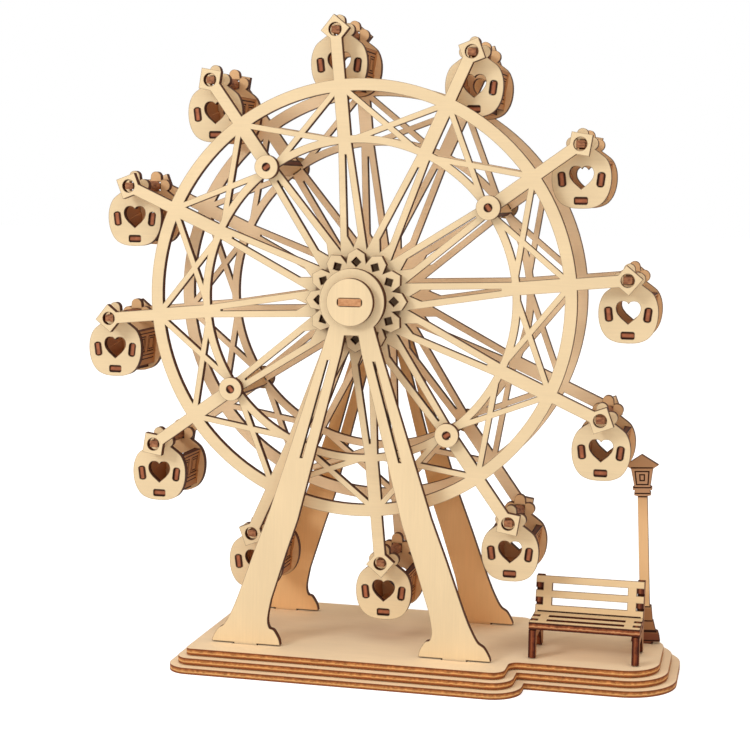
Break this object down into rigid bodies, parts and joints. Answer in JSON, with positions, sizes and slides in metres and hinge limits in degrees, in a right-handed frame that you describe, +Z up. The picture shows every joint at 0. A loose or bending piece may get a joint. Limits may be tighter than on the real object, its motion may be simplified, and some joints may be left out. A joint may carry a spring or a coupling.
{
  "type": "ferris wheel model kit",
  "caption": "Laser-cut plywood ferris wheel model: a lattice wheel turns between two standing frames and carries free-hanging round gondolas; a bench and a lamp stand on the stepped base.",
  "frame": {"origin": "on the underside of the base, straight below the axle and midway between the two standing frames", "axes": "+X along the base towards the bench and the lamp, +Y from the front standing frame to the rear one along the axle, +Z up"},
  "size_m": [0.154, 0.0618, 0.1634],
  "materials": {
    "plywood_face": "bare laser-cut birch plywood, pale faces with scorched edges",
    "plywood_edge": "bare laser-cut plywood seen on its scorched brown cut edges"
  },
  "bodies": {
    "stand": {"a_frame_front": "plywood_face", "a_frame_rear": "plywood_face", "axle_bar": "plywood_edge", "axle_cap_front": "plywood_face", "axle_cap_rear": "plywood_face", "base_bottom_layer": "plywood_face", "base_middle_layer": "plywood_face", "base_top_layer": "plywood_face", "bench_back": "plywood_face", "bench_seat": "plywood_face", "bench_side_left": "plywood_edge", "bench_side_right": "plywood_edge", "hub_bush_front": "plywood_face", "hub_bush_rear": "plywood_face", "lamp_post": "plywood_face", "petal_disc_front": "plywood_face", "petal_disc_rear": "plywood_face"},
    "wheel": {"tie_rod_1": "plywood_edge", "tie_rod_2": "plywood_edge", "tie_rod_3": "plywood_edge", "tie_rod_4": "plywood_edge", "wheel_side_front": "plywood_face", "wheel_side_rear": "plywood_face"},
    "gondola_01": {"gondola_01_cabin": "plywood_face", "gondola_01_front_plate": "plywood_face", "gondola_01_pin": "plywood_edge"},
    "gondola_02": {"gondola_02_cabin": "plywood_face", "gondola_02_front_plate": "plywood_face", "gondola_02_pin": "plywood_edge"},
    "gondola_03": {"gondola_03_cabin": "plywood_face", "gondola_03_front_plate": "plywood_face", "gondola_03_pin": "plywood_edge"},
    "gondola_04": {"gondola_04_cabin": "plywood_face", "gondola_04_front_plate": "plywood_face", "gondola_04_pin": "plywood_edge"},
    "gondola_05": {"gondola_05_cabin": "plywood_face", "gondola_05_front_plate": "plywood_face", "gondola_05_pin": "plywood_edge"},
    "gondola_06": {"gondola_06_cabin": "plywood_face", "gondola_06_front_plate": "plywood_face", "gondola_06_pin": "plywood_edge"},
    "gondola_07": {"gondola_07_cabin": "plywood_face", "gondola_07_front_plate": "plywood_face", "gondola_07_pin": "plywood_edge"},
    "gondola_08": {"gondola_08_cabin": "plywood_face", "gondola_08_front_plate": "plywood_face", "gondola_08_pin": "plywood_edge"},
    "gondola_09": {"gondola_09_cabin": "plywood_face", "gondola_09_front_plate": "plywood_face", "gondola_09_pin": "plywood_edge"},
    "gondola_10": {"gondola_10_cabin": "plywood_face", "gondola_10_front_plate": "plywood_face", "gondola_10_pin": "plywood_edge"},
    "gondola_11": {"gondola_11_cabin": "plywood_face", "gondola_11_front_plate": "plywood_face", "gondola_11_pin": "plywood_edge"},
    "gondola_12": {"gondola_12_cabin": "plywood_face", "gondola_12_front_plate": "plywood_face", "gondola_12_pin": "plywood_edge"}
  },
  "joints": [
    {"name": "wheel_turn", "type": "hinge", "parent": "stand", "child": "wheel", "pos_m": [0, 0, 0.09324], "axis": [0, 1, 0], "continuous": true},
    {"name": "gondola_01_swing", "type": "hinge", "parent": "wheel", "child": "gondola_01", "pos_m": [-0.00644, 0, 0.15949], "axis": [0, 1, 0], "continuous": true},
    {"name": "gondola_02_swing", "type": "hinge", "parent": "wheel", "child": "gondola_02", "pos_m": [0.02755, 0, 0.15383], "axis": [0, 1, 0], "continuous": true},
    {"name": "gondola_03_swing", "type": "hinge", "parent": "wheel", "child": "gondola_03", "pos_m": [0.05415, 0, 0.13194], "axis": [0, 1, 0], "continuous": true},
    {"name": "gondola_04_swing", "type": "hinge", "parent": "wheel", "child": "gondola_04", "pos_m": [0.06625, 0, 0.09968], "axis": [0, 1, 0], "continuous": true},
    {"name": "gondola_05_swing", "type": "hinge", "parent": "wheel", "child": "gondola_05", "pos_m": [0.06059, 0, 0.06569], "axis": [0, 1, 0], "continuous": true},
    {"name": "gondola_06_swing", "type": "hinge", "parent": "wheel", "child": "gondola_06", "pos_m": [0.0387, 0, 0.03909], "axis": [0, 1, 0], "continuous": true},
    {"name": "gondola_07_swing", "type": "hinge", "parent": "wheel", "child": "gondola_07", "pos_m": [0.00644, 0, 0.02699], "axis": [0, 1, 0], "continuous": true},
    {"name": "gondola_08_swing", "type": "hinge", "parent": "wheel", "child": "gondola_08", "pos_m": [-0.02755, 0, 0.03265], "axis": [0, 1, 0], "continuous": true},
    {"name": "gondola_09_swing", "type": "hinge", "parent": "wheel", "child": "gondola_09", "pos_m": [-0.05415, 0, 0.05454], "axis": [0, 1, 0], "continuous": true},
    {"name": "gondola_10_swing", "type": "hinge", "parent": "wheel", "child": "gondola_10", "pos_m": [-0.06625, 0, 0.0868], "axis": [0, 1, 0], "continuous": true},
    {"name": "gondola_11_swing", "type": "hinge", "parent": "wheel", "child": "gondola_11", "pos_m": [-0.06059, 0, 0.12079], "axis": [0, 1, 0], "continuous": true},
    {"name": "gondola_12_swing", "type": "hinge", "parent": "wheel", "child": "gondola_12", "pos_m": [-0.0387, 0, 0.14739], "axis": [0, 1, 0], "continuous": true}
  ]
}
